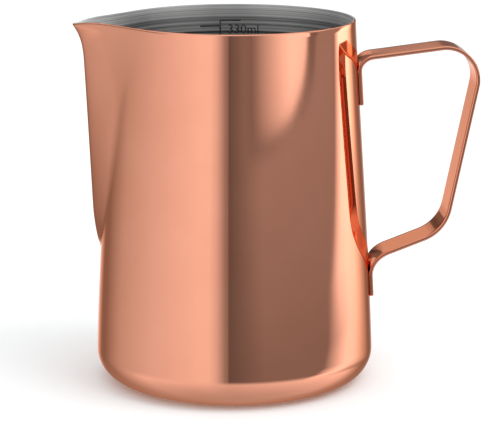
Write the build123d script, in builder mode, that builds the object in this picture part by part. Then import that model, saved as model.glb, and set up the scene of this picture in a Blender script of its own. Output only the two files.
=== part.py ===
from build123d import *
from math import sqrt
import os

# Steam-milk jug: a one-piece drawn shell with a pressed pouring spout, and a bent strap
# handle spot-welded to the wall. Millimetres, +Z up, origin on the shell's axis at the
# plane it stands on, handle towards +X, spout towards -X.

# Shell
height = 96.0
base_radius = 37.1
lower_radius = 36.3      # the wall is one gentle curve: these two radii, a third and
upper_radius = 33.35     # two thirds of the way up, pull it away from a straight taper
rim_radius = 31.75
wall = 0.8
corner_radius = 8.0

# Spout, a V-shaped ridge pressed out of the wall
spout_start = 36.2       # height of the ridge's foot
spout_rise = 10.5        # height over which the foot swells out to the ridge line
spout_full = 74.0        # height where the ridge reaches its full width
spout_half_width = 13.5
spout_lead_in = 4.0      # the V's two roots part this much below the ridge's foot
spout_depth = 8.0        # how deep the V's block reaches into the jug
ridge_at_start = 1.45    # how far the ridge line stands out of the wall at its foot ...
ridge_at_rim = 8.55      # ... and at the rim, before the lip's flare
lip_flare = 2.2
lip_height = 10.0
lip_droop = 1.0          # the lip's tip hangs this much below the rim ...
droop_start = 33.7       # ... beginning this far from the axis
droop_slope = 0.22       # slope of the rim's edge at the tip
spout_tip = rim_radius + ridge_at_rim + lip_flare

# Handle strap
strap_width = 12.2
strap_thickness = 1.0
foot_gap = 0.02          # the feet hug the wall
upper_foot_end = 73.7
upper_corner = 85.8
upper_bend = 3.9
top_corner = (65.9, 90.0)
top_bend = 8.6
grip_corner = (55.6, 39.8)
grip_bend = 10.7
lower_corner = 32.3
lower_bend = 7.0
lower_foot_end = 22.3
arm_split = 9.0          # where the curved foot ends, along the arm from the foot's corner
arm_overlap = 1.5        # the flat arm begins this much before it
foot_half_angle = 12
upper_foot_middle = 78.0
lower_foot_middle = 24.9

# Spot welds, two in each foot, side by side
weld_radius = 1.5
weld_pitch = 5.0
weld_in_wall = 0.4
weld_in_strap = 0.5

# Heights of the spout block's sections, the first one wholly inside the wall
buried = 1.0
ridge_heights = [34.0, 36.2, 38.0, 41.0, 46.0, 54.0, 64.0, 74.0, 86.0, 90.0, 93.0, 96.0]


def wall_radius(z):
    """Outer radius of the round wall at a height: a cubic curve through its radii."""
    t = z / height
    return (
        base_radius * (1 - t) ** 3
        + 3 * lower_radius * t * (1 - t) ** 2
        + 3 * upper_radius * t**2 * (1 - t)
        + rim_radius * t**3
    )


def swell(z, start, rise):
    """A quarter ellipse from 0 at the start to 1 after the rise."""
    t = min(max((z - start) / rise, 0), 1)
    return sqrt(1 - (1 - t) ** 2)


def ridge_stand(z):
    """How far the spout's ridge stands out of the round wall."""
    along = (z - spout_start) / (height - spout_start)
    line = ridge_at_start + (ridge_at_rim - ridge_at_start) * along
    flare = lip_flare * max(1 - (height - z) / lip_height, 0) ** 3
    return line * swell(z, spout_start, spout_rise) + flare


def round_block(bottom, inset, edge_radius):
    """The round wall as a solid block, at its outside or a wall's inset from it."""
    top = height + inset
    radii = [base_radius - inset, lower_radius - inset, upper_radius - inset, rim_radius - inset]
    with BuildPart() as block:
        with BuildSketch(Plane.XZ):
            with BuildLine():
                Line((0, bottom), (radii[0], bottom))
                Bezier(*[(r, bottom + (top - bottom) * i / 3) for i, r in enumerate(radii)])
                Line((radii[-1], top), (0, top))
                Line((0, top), (0, bottom))
            make_face()
        revolve(axis=Axis.Z)
        fillet(block.faces().sort_by(Axis.Z)[0].edges(), edge_radius)
    return block.part


def spout_block(inset):
    """The V of the spout as a solid block, at its outside or a wall's inset from it."""
    with BuildPart() as block:
        for z in ridge_heights:
            half = spout_half_width * swell(z, spout_start - spout_lead_in, spout_full - spout_start)
            root = sqrt(wall_radius(z) ** 2 - half**2)
            stand = ridge_stand(z) if z > spout_start else -buried
            tip = wall_radius(z) + stand
            slope = (tip - root) / half
            back = inset * sqrt(1 + slope**2)
            above = inset if z == height else 0
            with BuildSketch(Plane.XY.offset(z + above)):
                with BuildLine():
                    Polyline(
                        (back - root, half),
                        (back - tip, 0),
                        (back - root, -half),
                        (back - root + spout_depth, 0),
                        close=True,
                    )
                make_face()
        loft(ruled=True)
    return block.part


def strap_path(corners, bends):
    """A path through its corners, rounded to a radius at each inner one."""
    with BuildLine() as path:
        Polyline(*corners)
        for corner, bend in zip(corners[1:-1], bends):
            fillet(path.vertices().sort_by_distance((*corner, 0))[0], bend)
    return path.line


def towards(start, end, distance):
    """The point at a distance from the start on the line to the end."""
    dx, dz = end[0] - start[0], end[1] - start[1]
    share = distance / sqrt(dx**2 + dz**2)
    return (start[0] + dx * share, start[1] + dz * share)


def foot_solid(corners, bend):
    """A foot and its bend, curved round the jug's axis so that they hug the wall."""
    with BuildPart() as foot:
        with BuildSketch(Plane.XZ.rotated((0, 0, -foot_half_angle))):
            trace(strap_path(corners, [bend]), strap_thickness)
        revolve(axis=Axis.Z, revolution_arc=2 * foot_half_angle)
        Box(2 * top_corner[0], strap_width, 2 * height, mode=Mode.INTERSECT)
    return foot.part


def weld_discs(z):
    """A foot's nuggets at a height, from inside the wall's thickness to inside the strap's."""
    with BuildPart() as discs:
        with BuildSketch(Plane.YZ.offset(wall_radius(z) - weld_in_wall)):
            with Locations((-weld_pitch / 2, z), (weld_pitch / 2, z)):
                Circle(weld_radius)
        extrude(amount=weld_in_wall + foot_gap + weld_in_strap)
    return discs.part


def foot_line(z):
    """Distance from the axis to the middle of the strap where it lies on the wall."""
    return wall_radius(z) + foot_gap + strap_thickness / 2


# The strap's path: down the wall, out along the upper arm, down the grip and back
upper_end = (foot_line(upper_foot_end), upper_foot_end)
upper_turn = (foot_line(upper_corner), upper_corner)
lower_turn = (foot_line(lower_corner), lower_corner)
lower_end = (foot_line(lower_foot_end), lower_foot_end)
upper_split = towards(upper_turn, top_corner, arm_split)
lower_split = towards(lower_turn, grip_corner, arm_split)

upper_arm = towards(upper_split, upper_turn, arm_overlap)
lower_arm = towards(lower_split, lower_turn, arm_overlap)

upper_nuggets = weld_discs(upper_foot_middle)
lower_nuggets = weld_discs(lower_foot_middle)

# The rim's edge along the lip, seen from the side
lip_edge_start = (-droop_start, height)
lip_edge_end = (-spout_tip, height - lip_droop)

with BuildPart() as jug_body:
    add(round_block(0, 0, corner_radius))
    add(spout_block(0))
    add(round_block(wall, wall, corner_radius - wall), mode=Mode.SUBTRACT)
    add(spout_block(wall), mode=Mode.SUBTRACT)
    with BuildSketch(Plane.XZ) as lip_cut:
        with BuildLine():
            Spline(lip_edge_start, lip_edge_end, tangents=((-1, 0), (-1, -droop_slope)))
            Polyline(lip_edge_end, (-spout_tip, 2 * height), (-droop_start, 2 * height), lip_edge_start)
        make_face()
    extrude(amount=spout_half_width, both=True, mode=Mode.SUBTRACT)
    add(upper_nuggets, mode=Mode.SUBTRACT)
    add(lower_nuggets, mode=Mode.SUBTRACT)

with BuildPart() as handle:
    with BuildSketch(Plane.XZ):
        trace(
            strap_path([upper_arm, top_corner, grip_corner, lower_arm], [top_bend, grip_bend]),
            strap_thickness,
        )
    extrude(amount=strap_width / 2, both=True)
    add(foot_solid([upper_end, upper_turn, upper_split], upper_bend))
    add(foot_solid([lower_end, lower_turn, lower_split], lower_bend))
    add(upper_nuggets, mode=Mode.SUBTRACT)
    add(lower_nuggets, mode=Mode.SUBTRACT)

with BuildPart() as upper_welds:
    add(upper_nuggets)

with BuildPart() as lower_welds:
    add(lower_nuggets)

jug_body.part.label = "jug_body"
handle.part.label = "handle"
upper_welds.part.label = "upper_welds"
lower_welds.part.label = "lower_welds"

os.makedirs("parts", exist_ok=True)
export_step(jug_body.part, "parts/jug_body.step")
export_step(handle.part, "parts/handle.step")
export_step(upper_welds.part, "parts/upper_welds.step")
export_step(lower_welds.part, "parts/lower_welds.step")
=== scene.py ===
from math import atan, atan2, copysign, cos, pi, radians, sin, sqrt, tan

import bmesh
import bpy
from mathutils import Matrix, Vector


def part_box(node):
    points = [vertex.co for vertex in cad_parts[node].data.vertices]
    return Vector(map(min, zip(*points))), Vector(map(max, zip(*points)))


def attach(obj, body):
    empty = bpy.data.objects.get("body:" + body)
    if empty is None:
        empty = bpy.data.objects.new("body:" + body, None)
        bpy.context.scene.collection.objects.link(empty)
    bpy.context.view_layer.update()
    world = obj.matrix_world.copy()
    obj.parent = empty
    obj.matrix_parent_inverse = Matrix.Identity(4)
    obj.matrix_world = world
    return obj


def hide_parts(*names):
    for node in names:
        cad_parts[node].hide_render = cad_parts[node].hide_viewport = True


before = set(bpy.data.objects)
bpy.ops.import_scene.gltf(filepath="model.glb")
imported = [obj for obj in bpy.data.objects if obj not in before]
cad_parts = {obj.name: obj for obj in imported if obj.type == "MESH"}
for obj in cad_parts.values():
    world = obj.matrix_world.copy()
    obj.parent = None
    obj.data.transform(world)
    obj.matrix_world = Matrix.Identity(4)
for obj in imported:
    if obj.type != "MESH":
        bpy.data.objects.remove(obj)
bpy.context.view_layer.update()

MM = 0.001
jug_low, jug_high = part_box("jug_body")
handle_low, handle_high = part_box("handle")

# Shell, in metres. The height and the spout's reach are the CAD shell's.
HEIGHT = jug_high.z
SPOUT_TIP = -jug_low.x
BASE_RADIUS = 37.1 * MM
LOWER_RADIUS = 36.3 * MM
UPPER_RADIUS = 33.35 * MM
RIM_RADIUS = 31.75 * MM
WALL = 0.8 * MM
CORNER = 8.0 * MM

# Spout
SPOUT_START = 36.2 * MM
SPOUT_RISE = 10.5 * MM
SPOUT_FULL = 88.0 * MM
SPOUT_HALF_WIDTH = 12.8 * MM
RIDGE_AT_START = 1.45 * MM
LIP_FLARE = 2.2 * MM
LIP_HEIGHT = 10.0 * MM
RIDGE_AT_RIM = SPOUT_TIP - RIM_RADIUS - LIP_FLARE
FLANK_HOLLOW = 0.27
VALLEY_BLEND = 0.14
RIM_BLEND = 0.6
RIM_BLEND_HEIGHT = 22.0 * MM
RIDGE_ROUND = 0.08
LIP_DROOP = 1.0 * MM
DROOP_START = 33.7 * MM

# Strap
STRAP_WIDTH = handle_high.y - handle_low.y
STRAP_THICKNESS = 1.0 * MM
STRAP_ROUND = 0.32 * MM
END_ROUND = 0.15 * MM
FOOT_GAP = 0.02 * MM
HUG_REACH = 6.0 * MM
UPPER_FOOT_END = 73.7 * MM
UPPER_CORNER = 85.8 * MM
UPPER_BEND = 3.9 * MM
TOP_CORNER = (65.9 * MM, 90.0 * MM)
TOP_BEND = 8.6 * MM
GRIP_CORNER = (55.6 * MM, 39.8 * MM)
GRIP_BEND = 10.7 * MM
LOWER_CORNER = 32.3 * MM
LOWER_BEND = 7.0 * MM
LOWER_FOOT_END = 22.3 * MM

# Filling scale: volumes in millilitres on one side of the line and fluid ounces on the other
ML_TICKS = [100, 150, 200, 250, 330]
OZ_TICKS = [4, 6, 8, 11]
ML_PER_OZ = 29.574
SCALE_AZIMUTH = radians(94.2)
TICK_LENGTH = 5.4 * MM
MARK_WIDTH = 0.42 * MM
MARK_DEPTH = 0.02 * MM
MARK_GAP = 0.02 * MM
TEXT_SIZE = 3.55 * MM
TEXT_IN = 2.0 * MM
ML_DROP = 1.0 * MM
OZ_DROP = 2.2 * MM

# Mesh density
COLUMNS = 300
COLUMN_PULL = 0.72
WALL_ROWS = 96
CORNER_ROWS = 14
RIM_STEPS = 8
BASE_RINGS = (0.35, 0.7, 0.9)
ROW_PULL = 0.12
BEND_STEP = radians(4)
STRAIGHT_STEP = 2.5 * MM
STRAP_CORNER_STEPS = 4
STRAP_FACE_STEPS = 10
BAR_STEP = 0.5 * MM
BAR_LIFT = 2.0 * MM

# Copper's colours: plain, in its darker clouds and towards grazing angles
COPPER_LIGHT = (0.95, 0.42, 0.28)
BODY_DEEP = (0.91, 0.39, 0.255)
STRAP_DEEP = (0.90, 0.385, 0.25)
EDGE_TINT = (0.97, 0.62, 0.48)

# Camera. It stands to the side of the jug and is turned a little past it
CAMERA_DISTANCE = 0.5728
CAMERA_HEIGHT = 0.1697
CAMERA_SIDE = radians(2.78)
CAMERA_PITCH = radians(12.5)
CAMERA_YAW = 0.0073
CAMERA_LENS = 158.9
CAMERA_SENSOR = 36

# The studio that the polished metal mirrors: a dim room with panels that have soft edges.
# Headings are in degrees round from the camera's side towards the handle. A panel's light
# starts, is full, is last full and ends there, and is given low down and from just under eye
# level up. Less than nothing is a dark flag
DIM_ROOM = 0.28
PANELS = [
    (-181, -180, -165, -147, 0.75, 0.45),
    (-137, -110, -15, -5, 0.32, 0.30),
    (-110, -30, -21, -8, 0.42, 0.48),
    (-5.2, -4.6, -4.6, 25, -0.13, -0.13),
    (-5, 20, 84, 90, -0.02, 0.09),
    (84, 112, 124, 150, 1.12, 0),
    (88, 100, 126, 143, 0, 2.00),
    (158, 165, 180, 181, 0.34, 0.34),
]
PANEL_LOW = -0.21
PANEL_HIGH = -0.075
STUDIO_TURN = 2.8

# The panel on the right leans: its edges move round with height
LEAN_UP = 195
LEAN_UP_FROM = -0.17
LEAN_DOWN = 300
LEAN_DOWN_FROM = -0.21
LEAN_FROM = (30, 80)
LEAN_TO = (150, 110)

# A lit panel ahead on the right, with an elliptical lower corner and a dark frame
LOBE_GLOW = 1.1
LOBE_EDGE = (16, 53)
LOBE_HEADING = 9
LOBE_WIDTH = 76
LOBE_LEVEL = -0.020
LOBE_DROP = 0.0405
LOBE_SAG = 4.6e-6
LOBE_FADE = (-0.062, -0.046)
FRAME_INNER = 0.88
FRAME_SOFT = 0.03
FRAME_SHADE = 0.62
FRAME_FADE = 0.15

# A dark strip behind, the light ground under the base and the ceiling
BELT_LOW = -0.02
BELT_HIGH = 0.17
BELT_SOFT = 0.01
BELT_BEHIND = (151, 154)
BELT_SHADE = 0.22
DIM_GROUND = 0.35
GROUND = [
    (-128, -85, 112, 138, 0.60),
    (-25, -5, -5, 45, -0.17),
    (45, 95, 100, 125, 0.20),
]
GROUND_TOP = -0.275
GROUND_FULL = -0.42
GROUND_UNDER = 0.55
CORNER_LEVELS = (0.05, 0.12)
CORNER_HEADINGS = (-170, -160, -80, -60)
CORNER_SHADE = 0.35
CEILING_START = 0.35
CEILING_FULL = 0.75
CEILING = 0.9
SURROUND = 1.10

# Floor and key light
FLOOR_SIZE = 8
FLOOR_COLOUR = (0.90, 0.94, 0.95, 1)
KEY_SIZE = 0.6
KEY_POWER = 3.2
KEY_PLACE = Vector((0.50, -0.30, 0.75))
KEY_AIM = Vector((0, 0, 0.04))


# ---------------------------------------------------------------- shell shape
def wall_radius(z):
    """Outer radius of the round wall at a height: a cubic curve through its radii."""
    t = z / HEIGHT
    return (
        BASE_RADIUS * (1 - t) ** 3
        + 3 * LOWER_RADIUS * t * (1 - t) ** 2
        + 3 * UPPER_RADIUS * t**2 * (1 - t)
        + RIM_RADIUS * t**3
    )


def swell(z, start, rise):
    """A quarter ellipse from 0 at the start to 1 after the rise."""
    t = min(max((z - start) / rise, 0), 1)
    return sqrt(1 - (1 - t) ** 2)


def ridge_stand(z):
    """How far the spout's ridge stands out of the round wall."""
    along = (z - SPOUT_START) / (HEIGHT - SPOUT_START)
    line = RIDGE_AT_START + (RIDGE_AT_RIM - RIDGE_AT_START) * along
    below_lip = max(HEIGHT - LIP_DROOP - WALL / 2 - z, 0)
    flare = LIP_FLARE * max(1 - below_lip / LIP_HEIGHT, 0) ** 3
    return line * swell(z, SPOUT_START, SPOUT_RISE) + flare


def valley_blend(z):
    """How wide the valley's curve is, in half widths: it opens out towards the rim."""
    t = max(1 - (HEIGHT - z) / RIM_BLEND_HEIGHT, 0)
    return VALLEY_BLEND + (RIM_BLEND - VALLEY_BLEND) * t * t * (3 - 2 * t)


def flank(u, z):
    """The ridge's cross-section: 1 on the ridge, 0 on the wall, u in half widths."""
    u = sqrt(u**2 + RIDGE_ROUND**2) - RIDGE_ROUND
    blend = valley_blend(z)
    if u < 1 - blend:
        fall = 1 - u
    elif u < 1 + blend:
        fall = (1 - u + blend) ** 2 / (4 * blend)
    else:
        fall = 0
    return fall * (1 - FLANK_HOLLOW * min(u, 1 + blend))


def outside(angle, z):
    """A point on the shell's outer face above the base corner."""
    radius = wall_radius(z)
    x, y = radius * cos(angle), radius * sin(angle)
    half_width = SPOUT_HALF_WIDTH * swell(z, SPOUT_START, SPOUT_FULL - SPOUT_START)
    if x < 0 and half_width > 0:
        x -= ridge_stand(z) * flank(abs(y) / half_width, z)
    return Vector((x, y, z))


def rim_height(angle):
    """Height of the rim's edge, which droops towards the lip's tip."""
    reach = -outside(angle, HEIGHT).x
    droop = max((reach - DROOP_START) / (SPOUT_TIP - DROOP_START), 0)
    return HEIGHT - LIP_DROOP * droop**2


def corner_arc():
    """The base corner's centre, and the angle at which it meets the wall."""
    step = 0.1 * MM
    lean = atan((wall_radius(CORNER - step) - wall_radius(CORNER + step)) / (2 * step))
    meet = CORNER * (1 + sin(lean))
    return wall_radius(meet) - CORNER * cos(lean), lean, meet


def shell_grid():
    """Rows of outer points from the base's centre to the rim, and a normal for each."""
    centre, lean, meet = corner_arc()
    angles = []
    for i in range(COLUMNS):
        u = 2 * pi * i / COLUMNS
        angles.append(u + COLUMN_PULL * sin(u))
    tops = [rim_height(a) - WALL / 2 for a in angles]
    rows, normals = [], []
    for share in BASE_RINGS:
        rows.append([Vector((centre * share * cos(a), centre * share * sin(a), 0)) for a in angles])
        normals.append([Vector((0, 0, -1)) for a in angles])
    for i in range(CORNER_ROWS):
        turn = -pi / 2 + (pi / 2 + lean) * i / CORNER_ROWS
        r, z = centre + CORNER * cos(turn), CORNER + CORNER * sin(turn)
        rows.append([Vector((r * cos(a), r * sin(a), z)) for a in angles])
        normals.append([Vector((cos(turn) * cos(a), cos(turn) * sin(a), sin(turn))) for a in angles])
    step = 0.02 * MM
    for i in range(WALL_ROWS + 1):
        t = i / WALL_ROWS
        t += ROW_PULL * sin(pi * t) * (1 - t)
        row, row_normals = [], []
        for a, top in zip(angles, tops):
            z = meet + (top - meet) * t
            here = outside(a, z)
            along = outside(a + step / BASE_RADIUS, z) - outside(a - step / BASE_RADIUS, z)
            up = outside(a, z + step) - outside(a, z - step)
            row.append(here)
            row_normals.append(along.cross(up).normalized())
        rows.append(row)
        normals.append(row_normals)
    return rows, normals


def make_shell():
    """The jug's body as one closed mesh: coated outside, bare steel from the rim's crown in."""
    rows, normals = shell_grid()
    loops = [list(row) for row in rows]
    last, last_normals, below = rows[-1], normals[-1], rows[-2]
    for i in range(1, RIM_STEPS):
        turn = pi * i / RIM_STEPS
        loop = []
        for p, n, q in zip(last, last_normals, below):
            up = (p - q - n * (p - q).dot(n)).normalized()
            loop.append(p - n * WALL / 2 + (n * cos(turn) + up * sin(turn)) * WALL / 2)
        loops.append(loop)
    first_bare = len(rows) - 1 + RIM_STEPS // 2
    for row, row_normals in zip(reversed(rows), reversed(normals)):
        loops.append([p - n * WALL for p, n in zip(row, row_normals)])
    mesh = bmesh.new()
    rings = [[mesh.verts.new(p) for p in loop] for loop in loops]
    for k, (a, b) in enumerate(zip(rings, rings[1:])):
        for i in range(COLUMNS):
            j = (i + 1) % COLUMNS
            face = mesh.faces.new((a[i], a[j], b[j], b[i]))
            face.material_index = 1 if k >= first_bare else 0
    base = mesh.verts.new((0, 0, 0))
    floor = mesh.verts.new((0, 0, WALL))
    for i in range(COLUMNS):
        j = (i + 1) % COLUMNS
        mesh.faces.new((base, rings[0][j], rings[0][i]))
        mesh.faces.new((floor, rings[-1][i], rings[-1][j])).material_index = 1
    return finish_mesh(mesh, "jug_shell")


def finish_mesh(mesh, name):
    """A smooth-shaded object from a bmesh."""
    bmesh.ops.recalc_face_normals(mesh, faces=mesh.faces)
    for face in mesh.faces:
        face.smooth = True
    data = bpy.data.meshes.new(name)
    mesh.to_mesh(data)
    mesh.free()
    piece = bpy.data.objects.new(name, data)
    bpy.context.scene.collection.objects.link(piece)
    return piece


# ---------------------------------------------------------------- strap shape
def foot_line(z):
    """Distance from the axis to the middle of the strap where it lies on the wall."""
    return wall_radius(z) + FOOT_GAP + STRAP_THICKNESS / 2


def strap_path():
    """(x, z, heading) along the strap's middle, from the upper foot's end to the lower's."""
    corners = [
        ((foot_line(UPPER_FOOT_END), UPPER_FOOT_END), 0),
        ((foot_line(UPPER_CORNER), UPPER_CORNER), UPPER_BEND),
        (TOP_CORNER, TOP_BEND),
        (GRIP_CORNER, GRIP_BEND),
        ((foot_line(LOWER_CORNER), LOWER_CORNER), LOWER_BEND),
        ((foot_line(LOWER_FOOT_END), LOWER_FOOT_END), 0),
    ]
    points = []
    at = Vector(corners[0][0])
    for k in range(1, len(corners)):
        corner, bend = Vector(corners[k][0]), corners[k][1]
        before = (corner - Vector(corners[k - 1][0])).normalized()
        heading = atan2(before.y, before.x)
        turn, setback = 0, 0
        if k < len(corners) - 1:
            after = (Vector(corners[k + 1][0]) - corner).normalized()
            turn = atan2(before.x * after.y - before.y * after.x, before.dot(after))
            setback = bend * tan(abs(turn) / 2)
        end = corner - before * setback
        steps = max(int((end - at).length / STRAIGHT_STEP), 1)
        for i in range(steps):
            p = at.lerp(end, i / steps)
            points.append((p.x, p.y, heading))
        side = 1 if turn > 0 else -1
        centre = end + Vector((-sin(heading), cos(heading))) * bend * side
        steps = max(int(abs(turn) / BEND_STEP), 1) if turn else 0
        for i in range(steps):
            h = heading + turn * i / steps
            p = centre - Vector((-sin(h), cos(h))) * bend * side
            points.append((p.x, p.y, h))
        if turn:
            h = heading + turn
            at = centre - Vector((-sin(h), cos(h))) * bend * side
        else:
            points.append((corner.x, corner.y, heading))
    return points


def strap_section():
    """(across, through) points of the strap's rounded rectangle."""
    half_w, half_t = STRAP_WIDTH / 2 - STRAP_ROUND, STRAP_THICKNESS / 2 - STRAP_ROUND
    points = []
    for quarter, (sx, sy) in enumerate([(1, 1), (-1, 1), (-1, -1), (1, -1)]):
        for i in range(STRAP_CORNER_STEPS + 1):
            turn = pi / 2 * (quarter + i / STRAP_CORNER_STEPS)
            across = sx * half_w + STRAP_ROUND * cos(turn)
            through = sy * half_t + STRAP_ROUND * sin(turn)
            points.append((across, through))
        if quarter in (0, 2):
            for i in range(1, STRAP_FACE_STEPS):
                share = 1 - 2 * i / STRAP_FACE_STEPS
                points.append((sx * half_w * share, sy * (half_t + STRAP_ROUND)))
    return points


def hug(x, z):
    """How far the strap is curved to the wall here: 1 on the feet, 0 on the arms."""
    clear = (x - foot_line(z)) / HUG_REACH
    t = min(max(1 - clear, 0), 1)
    return t * t * (3 - 2 * t)


def with_soft_ends(path):
    """The path with extra places near both ends, where the section shrinks to soften them."""
    soft = []
    for end, inner in ((path[0], path[1]), (path[-1], path[-2])):
        length = sqrt((inner[0] - end[0]) ** 2 + (inner[1] - end[1]) ** 2)
        places = []
        for i in range(STRAP_CORNER_STEPS + 1):
            turn = pi / 2 * i / STRAP_CORNER_STEPS
            share = END_ROUND * (1 - cos(turn)) / length
            x, z = end[0] + (inner[0] - end[0]) * share, end[1] + (inner[1] - end[1]) * share
            places.append((x, z, end[2], END_ROUND * (1 - sin(turn))))
        places.append(point_between(end, inner, 3 * END_ROUND / length))
        soft.append(places)
    middle = [(x, z, heading, 0) for x, z, heading in path[1:-1]]
    return soft[0] + middle + soft[1][::-1]


def point_between(end, inner, share):
    """A full-size place on the straight end of the path."""
    return (end[0] + (inner[0] - end[0]) * share, end[1] + (inner[1] - end[1]) * share, end[2], 0)


def make_strap():
    """The handle: one strap swept along its path, its feet curved to the wall."""
    section = strap_section()
    mesh = bmesh.new()
    rings = []
    for x, z, heading, shrink in with_soft_ends(strap_path()):
        radius = wall_radius(z)
        amount = hug(x, z)
        ring = []
        for across, through in section:
            across -= copysign(min(shrink, abs(across)), across)
            through -= copysign(min(shrink, abs(through)), through)
            back = (radius - sqrt(radius**2 - across**2)) * amount
            out = x - back - sin(heading) * through
            ring.append(mesh.verts.new((out, across, z + cos(heading) * through)))
        rings.append(ring)
    count = len(section)
    for a, b in zip(rings, rings[1:]):
        for i in range(count):
            j = (i + 1) % count
            mesh.faces.new((a[i], a[j], b[j], b[i]))
    for ring in (rings[0], rings[-1]):
        mesh.faces.new(ring)
    piece = finish_mesh(mesh, "strap_handle")
    # the two ends are flat
    for face in piece.data.polygons:
        if len(face.vertices) > 4:
            face.use_smooth = False
    return piece


# ---------------------------------------------------------------- filling scale
def spout_area(z):
    """Area of the level section inside the spout's V, beyond the round wall."""
    half_width = SPOUT_HALF_WIDTH * swell(z, SPOUT_START, SPOUT_FULL - SPOUT_START)
    steps = 32
    step = (1 + RIM_BLEND) / steps
    share = sum(flank((i + 0.5) * step, z) for i in range(steps)) * step
    return 2 * half_width * ridge_stand(z) * share


def level_of(volume_ml):
    """Height of the surface when the jug holds a volume."""
    target, held, z, step = volume_ml * 1e-6, 0.0, WALL, 0.05 * MM
    while held < target and z < HEIGHT:
        corner = CORNER - WALL
        lift = min(z - WALL, corner)
        inset = corner - sqrt(corner**2 - (corner - lift) ** 2)
        held += (pi * (wall_radius(z) - WALL - inset) ** 2 + spout_area(z)) * step
        z += step
    return z


def on_inner_wall(right, z, depth):
    """A point on the inner wall, a distance to the right of the scale's line as seen inside."""
    radius = wall_radius(z) - WALL
    angle = SCALE_AZIMUTH - right / radius
    return Vector(((radius - depth) * cos(angle), (radius - depth) * sin(angle), z))


def add_bar(mesh, right, z, width, rise):
    """A thin raised bar on the inner wall, from its lower left corner."""
    steps = max(int(width / BAR_STEP), 1)
    lifts = max(int(rise / BAR_LIFT), 1)
    grid = []
    for k in range(lifts + 1):
        row = []
        for i in range(steps + 1):
            place = (right + width * i / steps, z + rise * k / lifts)
            row.append([mesh.verts.new(on_inner_wall(*place, depth)) for depth in (0, MARK_DEPTH)])
        grid.append(row)
    for k in range(lifts):
        for i in range(steps):
            a, b, c, d = grid[k][i], grid[k][i + 1], grid[k + 1][i + 1], grid[k + 1][i]
            mesh.faces.new((a[1], b[1], c[1], d[1]))
            mesh.faces.new((d[0], c[0], b[0], a[0]))
        for side in (0, steps):
            a, d = grid[k][side], grid[k + 1][side]
            mesh.faces.new((a[0], a[1], d[1], d[0]))
    for i in range(steps):
        for side in (0, lifts):
            a, b = grid[side][i], grid[side][i + 1]
            mesh.faces.new((a[0], b[0], b[1], a[1]))


def add_text(mesh, words, right, top, from_right):
    """Raised characters wrapped on the inner wall, hanging from a height."""
    curve = bpy.data.curves.new("words", "FONT")
    curve.body = words
    curve.size = TEXT_SIZE
    curve.extrude = MARK_DEPTH / 2
    curve.resolution_u = 3
    curve.align_x = "RIGHT" if from_right else "LEFT"
    curve.align_y = "TOP"
    holder = bpy.data.objects.new("words", curve)
    bpy.context.scene.collection.objects.link(holder)
    bpy.context.view_layer.update()
    shape = bpy.data.meshes.new_from_object(holder)
    bpy.data.objects.remove(holder)
    part = bmesh.new()
    part.from_mesh(shape)
    bmesh.ops.remove_doubles(part, verts=part.verts, dist=MARK_DEPTH / 10)
    made = {}
    for v in part.verts:
        depth = v.co.z + MARK_DEPTH / 2
        made[v] = mesh.verts.new(on_inner_wall(right + v.co.x, top + v.co.y, depth))
    for f in part.faces:
        mesh.faces.new([made[v] for v in f.verts])
    part.free()
    bpy.data.meshes.remove(shape)


def make_scale():
    """The dark filling scale: one upright line, ticks each side and their numbers."""
    mesh = bmesh.new()
    levels = {ml: level_of(ml) for ml in ML_TICKS}
    lowest, highest = levels[ML_TICKS[0]], levels[ML_TICKS[-1]]
    add_bar(mesh, -MARK_WIDTH / 2, lowest - MARK_WIDTH, MARK_WIDTH, highest - lowest + MARK_WIDTH)
    tick_start = MARK_WIDTH / 2 + MARK_GAP
    for ml in ML_TICKS:
        add_bar(mesh, tick_start, levels[ml] - MARK_WIDTH, TICK_LENGTH, MARK_WIDTH)
        add_text(mesh, f"{ml}ml", TEXT_IN, levels[ml] - ML_DROP, False)
    for oz in OZ_TICKS:
        z = level_of(oz * ML_PER_OZ)
        add_bar(mesh, -tick_start - TICK_LENGTH, z - MARK_WIDTH, TICK_LENGTH, MARK_WIDTH)
        add_text(mesh, f"{oz}oz", -TEXT_IN, z - OZ_DROP, True)
    return finish_mesh(mesh, "filling_scale")


# ---------------------------------------------------------------- materials
def material(name):
    """A new node material, its node tree and its shader."""
    made = bpy.data.materials.new(name)
    made.use_nodes = True
    tree = made.node_tree
    return made, tree, tree.nodes["Principled BSDF"]


def node(tree, kind, **values):
    """A node with some of its inputs or properties set."""
    made = tree.nodes.new(kind)
    for key, value in values.items():
        if key in made.inputs:
            made.inputs[key].default_value = value
        else:
            setattr(made, key, value)
    return made


def math(tree, operation, a, b=None, c=None):
    """A math node whose operands are sockets or numbers."""
    made = tree.nodes.new("ShaderNodeMath")
    made.operation = operation
    for i, operand in enumerate(o for o in (a, b, c) if o is not None):
        if isinstance(operand, (int, float)):
            made.inputs[i].default_value = operand
        else:
            tree.links.new(operand, made.inputs[i])
    return made.outputs[0]


def ramp(tree, fac, stops):
    """A colour ramp over a factor, with (position, colour) stops."""
    made = tree.nodes.new("ShaderNodeValToRGB")
    made.color_ramp.interpolation = "LINEAR"
    while len(made.color_ramp.elements) < len(stops):
        made.color_ramp.elements.new(0.5)
    for element, (position, colour) in zip(made.color_ramp.elements, stops):
        element.position = position
        element.color = (*colour, 1)
    tree.links.new(fac, made.inputs["Fac"])
    return made.outputs["Color"]


def noise(tree, coords, scale, detail, stretch=(1, 1, 1)):
    """Noise over object coordinates, stretched along the axes."""
    mapping = node(tree, "ShaderNodeMapping")
    mapping.inputs["Scale"].default_value = stretch
    tree.links.new(coords, mapping.inputs["Vector"])
    made = node(tree, "ShaderNodeTexNoise", Scale=scale, Detail=detail)
    tree.links.new(mapping.outputs[0], made.inputs["Vector"])
    return made.outputs["Fac"]


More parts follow.
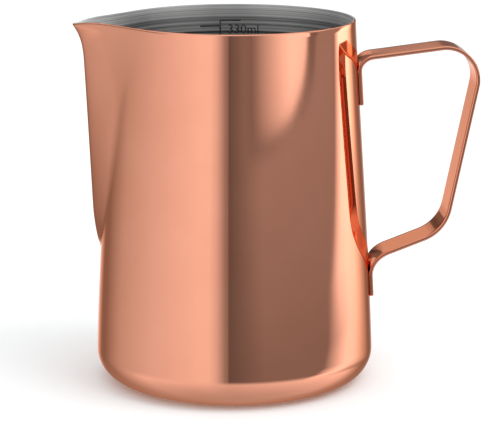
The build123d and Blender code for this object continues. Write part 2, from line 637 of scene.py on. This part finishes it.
def ring_noise(tree, along, scale, detail):
    """Noise that changes only along one coordinate, so it runs in rings round the axis."""
    made = node(tree, "ShaderNodeTexNoise", noise_dimensions="1D")
    made.inputs["Scale"].default_value = scale
    made.inputs["Detail"].default_value = detail
    tree.links.new(along, made.inputs["W"])
    return made.outputs["Fac"]


def bump(tree, shader, height, strength, distance):
    """Adds a bump to a shader's normal."""
    made = node(tree, "ShaderNodeBump", Strength=strength, Distance=distance)
    tree.links.new(height, made.inputs["Height"])
    tree.links.new(made.outputs[0], shader.inputs["Normal"])


def copper(name, light, deep, roughness, polish):
    """Copper-coloured coating over polished steel: faint clouding and fine polishing lines."""
    made, tree, shader = material(name)
    coords = node(tree, "ShaderNodeTexCoord").outputs["Object"]
    clouds = noise(tree, coords, scale=60, detail=4)
    tree.links.new(ramp(tree, clouds, [(0.3, deep), (0.7, light)]), shader.inputs["Base Color"])
    lines = noise(tree, coords, scale=900, detail=3, stretch=polish)
    rough = math(tree, "MULTIPLY_ADD", lines, 0.03, roughness)
    tree.links.new(rough, shader.inputs["Roughness"])
    shader.inputs["Metallic"].default_value = 1
    shader.inputs["Specular Tint"].default_value = (*EDGE_TINT, 1)
    bump(tree, shader, lines, strength=0.02, distance=0.01 * MM)
    return made


def brushed_steel():
    """Bare steel brushed in rings round the axis, duller towards the rim, its colour painted with shade deep
    inside the jug and with light towards the rim.
    """
    made, tree, shader = material("brushed_steel_inside")
    coords = node(tree, "ShaderNodeTexCoord").outputs["Object"]
    split = node(tree, "ShaderNodeSeparateXYZ")
    tree.links.new(coords, split.inputs[0])
    x, y, z = split.outputs
    reach = math(tree, "SQRT", math(tree, "ADD", math(tree, "POWER", x, 2), math(tree, "POWER", y, 2)))
    on_floor = between(tree, z, CORNER, WALL)
    along = math(tree, "SUBTRACT", z, math(tree, "MULTIPLY", reach, on_floor))
    grooves = ring_noise(tree, along, scale=1500, detail=4)
    bands = ring_noise(tree, along, scale=260, detail=2)
    clouds = noise(tree, coords, scale=40, detail=3)
    mixed = math(tree, "MULTIPLY_ADD", grooves, 0.7, math(tree, "MULTIPLY", bands, 0.3))
    cloudy = math(tree, "MULTIPLY_ADD", clouds, 0.15, math(tree, "MULTIPLY", mixed, 0.85))
    # painted shade and painted light: the same steel is given a dark tone deep inside the jug, where shade
    # falls, and a light tone towards the lit rim
    deep = ramp(tree, cloudy, [(0.42, (0.10, 0.10, 0.10)), (0.58, (0.70, 0.70, 0.695))])
    painted_light_at_rim = ramp(tree, cloudy, [(0.42, (0.42, 0.42, 0.42)), (0.58, (1.0, 1.0, 0.99))])
    # blends the colour from the painted shade deep inside to the painted light at the rim, and makes the rim
    # duller
    lip = between(tree, z, HEIGHT - LIP_HEIGHT, HEIGHT)
    tree.links.new(blend_colour(tree, lip, deep, painted_light_at_rim), shader.inputs["Base Color"])
    rough = math(tree, "MULTIPLY_ADD", lip, 0.2, math(tree, "MULTIPLY_ADD", mixed, 0.3, 0.24))
    tree.links.new(rough, shader.inputs["Roughness"])
    shader.inputs["Metallic"].default_value = 1
    bump(tree, shader, mixed, strength=0.25, distance=0.04 * MM)
    return made


def etched():
    """Laser-marked steel: nearly black, slightly uneven."""
    made, tree, shader = material("etched_black")
    coords = node(tree, "ShaderNodeTexCoord").outputs["Object"]
    grain = noise(tree, coords, scale=4000, detail=2)
    tone = ramp(tree, grain, [(0.3, (0.01, 0.01, 0.01)), (0.7, (0.035, 0.035, 0.035))])
    tree.links.new(tone, shader.inputs["Base Color"])
    shader.inputs["Roughness"].default_value = 0.6
    bump(tree, shader, grain, strength=0.2, distance=0.01 * MM)
    return made


# ---------------------------------------------------------------- studio
def lit_by(tree, degrees, dim, panels):
    """Brightness round the horizon: a dim level and the light of each soft-edged panel."""
    glow = dim
    for start, full, last, end, light in panels:
        share = math(tree, "MULTIPLY", between(tree, degrees, start, full), between(tree, degrees, end, last))
        glow = math(tree, "MULTIPLY_ADD", share, light, glow)
    return glow


def between(tree, value, start, end):
    """0 at the start and 1 at the end, limited to that range."""
    made = node(tree, "ShaderNodeMapRange")
    made.inputs["From Min"].default_value = start
    made.inputs["From Max"].default_value = end
    tree.links.new(value, made.inputs["Value"])
    return made.outputs[0]


def blend(tree, share, a, b):
    """a where the share is 0 and b where it is 1."""
    made = node(tree, "ShaderNodeMix", data_type="FLOAT")
    for socket, value in zip(made.inputs[:1] + made.inputs[2:4], (share, a, b)):
        if isinstance(value, (int, float)):
            socket.default_value = value
        else:
            tree.links.new(value, socket)
    return made.outputs[0]


def blend_colour(tree, share, a, b):
    """Colour a where the share is 0 and colour b where it is 1."""
    made = node(tree, "ShaderNodeMix", data_type="RGBA")
    tree.links.new(share, made.inputs["Factor"])
    for socket, colour in zip((s for s in made.inputs if s.type == "RGBA"), (a, b)):
        tree.links.new(colour, socket)
    return next(s for s in made.outputs if s.type == "RGBA")


def leaned(tree, degrees, level):
    """Headings corrected for the lean of the panel on the right."""
    share = math(tree, "MULTIPLY", between(tree, degrees, *LEAN_FROM), between(tree, degrees, *LEAN_TO))
    up = math(tree, "MAXIMUM", math(tree, "SUBTRACT", level, LEAN_UP_FROM), 0)
    down = math(tree, "MINIMUM", math(tree, "SUBTRACT", level, LEAN_DOWN_FROM), 0)
    shift = math(tree, "MULTIPLY_ADD", up, LEAN_UP, math(tree, "MULTIPLY", down, LEAN_DOWN))
    return math(tree, "SUBTRACT", degrees, math(tree, "MULTIPLY", share, shift))


def lobe(tree, degrees, level):
    """The lit panel: how strongly its frame shades the studio, and its own light."""
    across = math(tree, "DIVIDE", math(tree, "SUBTRACT", degrees, LOBE_HEADING), LOBE_WIDTH)
    sag = math(tree, "MULTIPLY", math(tree, "POWER", degrees, 2), LOBE_SAG)
    height = math(tree, "ADD", level, sag)
    down = math(tree, "DIVIDE", math(tree, "SUBTRACT", height, LOBE_LEVEL), LOBE_DROP)
    down = math(tree, "MINIMUM", down, 0)
    squares = math(tree, "ADD", math(tree, "POWER", across, 2), math(tree, "POWER", down, 2))
    reach = math(tree, "SQRT", squares)
    frame_mask = between(tree, reach, 1, 1 - FRAME_SOFT)
    frame_mask = math(tree, "MULTIPLY", frame_mask, between(tree, across, 0, FRAME_FADE))
    lit = between(tree, reach, FRAME_INNER, FRAME_INNER - FRAME_SOFT)
    lit = math(tree, "MULTIPLY", lit, between(tree, height, *LOBE_FADE))
    lit = math(tree, "MULTIPLY", lit, between(tree, degrees, *LOBE_EDGE))
    return frame_mask, math(tree, "MULTIPLY", lit, LOBE_GLOW)


def mirrored_studio(tree):
    """Brightness of the studio in each direction, as the polished metal mirrors it."""
    direction = node(tree, "ShaderNodeTexCoord").outputs["Generated"]
    split = node(tree, "ShaderNodeSeparateXYZ")
    tree.links.new(direction, split.inputs[0])
    x, y, level = split.outputs
    heading = math(tree, "ARCTAN2", x, math(tree, "MULTIPLY", y, -1))
    degrees = math(tree, "ADD", math(tree, "MULTIPLY", heading, 180 / pi), STUDIO_TURN)
    degrees = math(tree, "WRAP", degrees, 180, -180)
    panel_heading = leaned(tree, degrees, level)
    low = lit_by(tree, panel_heading, DIM_ROOM, [(*edges, low) for *edges, low, high in PANELS])
    high = lit_by(tree, panel_heading, DIM_ROOM, [(*edges, high) for *edges, low, high in PANELS])
    glow = blend(tree, between(tree, level, PANEL_LOW, PANEL_HIGH), low, high)
    frame_mask, lit = lobe(tree, degrees, level)
    glow = blend(tree, frame_mask, glow, math(tree, "MULTIPLY", glow, FRAME_SHADE))
    glow = math(tree, "ADD", glow, lit)
    strip = between(tree, level, BELT_LOW, BELT_LOW + BELT_SOFT)
    strip = math(tree, "MULTIPLY", strip, between(tree, level, BELT_HIGH, BELT_HIGH - BELT_SOFT))
    strip = math(tree, "MULTIPLY", strip, between(tree, math(tree, "ABSOLUTE", degrees), *BELT_BEHIND))
    glow = blend(tree, strip, glow, BELT_SHADE)
    start, full, last, end = CORNER_HEADINGS
    dim = math(tree, "MULTIPLY", between(tree, degrees, start, full), between(tree, degrees, end, last))
    dim = math(tree, "MULTIPLY", dim, between(tree, level, *CORNER_LEVELS))
    glow = blend(tree, dim, glow, math(tree, "MULTIPLY", glow, CORNER_SHADE))
    ground = lit_by(tree, degrees, DIM_GROUND, GROUND)
    ground = blend(tree, between(tree, level, GROUND_FULL, -1), ground, GROUND_UNDER)
    glow = blend(tree, between(tree, level, GROUND_TOP, GROUND_FULL), glow, ground)
    return blend(tree, between(tree, level, CEILING_START, CEILING_FULL), glow, CEILING)


def make_world():
    """Soft white light all round, and the studio's panels where the metal mirrors it."""
    world = bpy.data.worlds.new("studio")
    bpy.context.scene.world = world
    world.use_nodes = True
    tree = world.node_tree
    tree.nodes.clear()
    out = tree.nodes.new("ShaderNodeOutputWorld")
    rays = tree.nodes.new("ShaderNodeLightPath")
    reflected = tree.nodes.new("ShaderNodeBackground")
    tree.links.new(mirrored_studio(tree), reflected.inputs["Color"])
    plain = tree.nodes.new("ShaderNodeBackground")
    plain.inputs["Color"].default_value = (1, 1, 1, 1)
    plain.inputs["Strength"].default_value = SURROUND
    pick = tree.nodes.new("ShaderNodeMixShader")
    tree.links.new(rays.outputs["Is Glossy Ray"], pick.inputs[0])
    tree.links.new(plain.outputs[0], pick.inputs[1])
    tree.links.new(reflected.outputs[0], pick.inputs[2])
    tree.links.new(pick.outputs[0], out.inputs["Surface"])


def make_floor():
    """A plain pale floor, which the polished metal doesn't mirror."""
    bpy.ops.mesh.primitive_plane_add(size=FLOOR_SIZE)
    floor = bpy.context.object
    floor.name = "floor"
    made, tree, shader = material("floor_white")
    shader.inputs["Base Color"].default_value = FLOOR_COLOUR
    shader.inputs["Roughness"].default_value = 0.9
    shader.inputs["Specular IOR Level"].default_value = 0
    floor.data.materials.append(made)
    floor.visible_glossy = False


def make_lights():
    """One large soft key, high in front on the handle's side."""
    key = bpy.data.lights.new("key", "AREA")
    key.size = KEY_SIZE
    key.energy = KEY_POWER
    holder = bpy.data.objects.new("key", key)
    holder.location = KEY_PLACE
    holder.rotation_euler = (KEY_AIM - KEY_PLACE).to_track_quat("-Z", "Y").to_euler()
    holder.visible_glossy = False
    bpy.context.scene.collection.objects.link(holder)


def make_camera():
    """The camera: it looks down on the jug, from a little to the spout's side of square on."""
    data = bpy.data.cameras.new("camera")
    data.lens = CAMERA_LENS
    data.sensor_width = CAMERA_SENSOR
    data.clip_start = 0.01
    camera = bpy.data.objects.new("camera", data)
    across, back = CAMERA_DISTANCE * sin(CAMERA_SIDE), CAMERA_DISTANCE * cos(CAMERA_SIDE)
    camera.location = (-across, -back, CAMERA_HEIGHT)
    camera.rotation_euler = (pi / 2 - CAMERA_PITCH, 0, -CAMERA_SIDE - CAMERA_YAW)
    bpy.context.scene.collection.objects.link(camera)
    bpy.context.scene.camera = camera


body_copper = copper("copper_body", COPPER_LIGHT, BODY_DEEP, roughness=0.03, polish=(1, 1, 6))
strap_copper = copper("copper_strap", COPPER_LIGHT, STRAP_DEEP, roughness=0.05, polish=(1, 6, 1))
steel = brushed_steel()
black = etched()

shell = make_shell()
shell.data.materials.append(body_copper)
shell.data.materials.append(steel)
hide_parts("jug_body")
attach(shell, "root")

strap = make_strap()
strap.data.materials.append(strap_copper)
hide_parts("handle")
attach(strap, "root")

scale = make_scale()
scale.data.materials.append(black)
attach(scale, "root")

for name in ("upper_welds", "lower_welds"):
    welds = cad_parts[name]
    welds.data.materials.clear()
    welds.data.materials.append(steel)

make_world()
make_floor()
make_lights()
make_camera()
bpy.context.scene.view_settings.view_transform = "Standard"
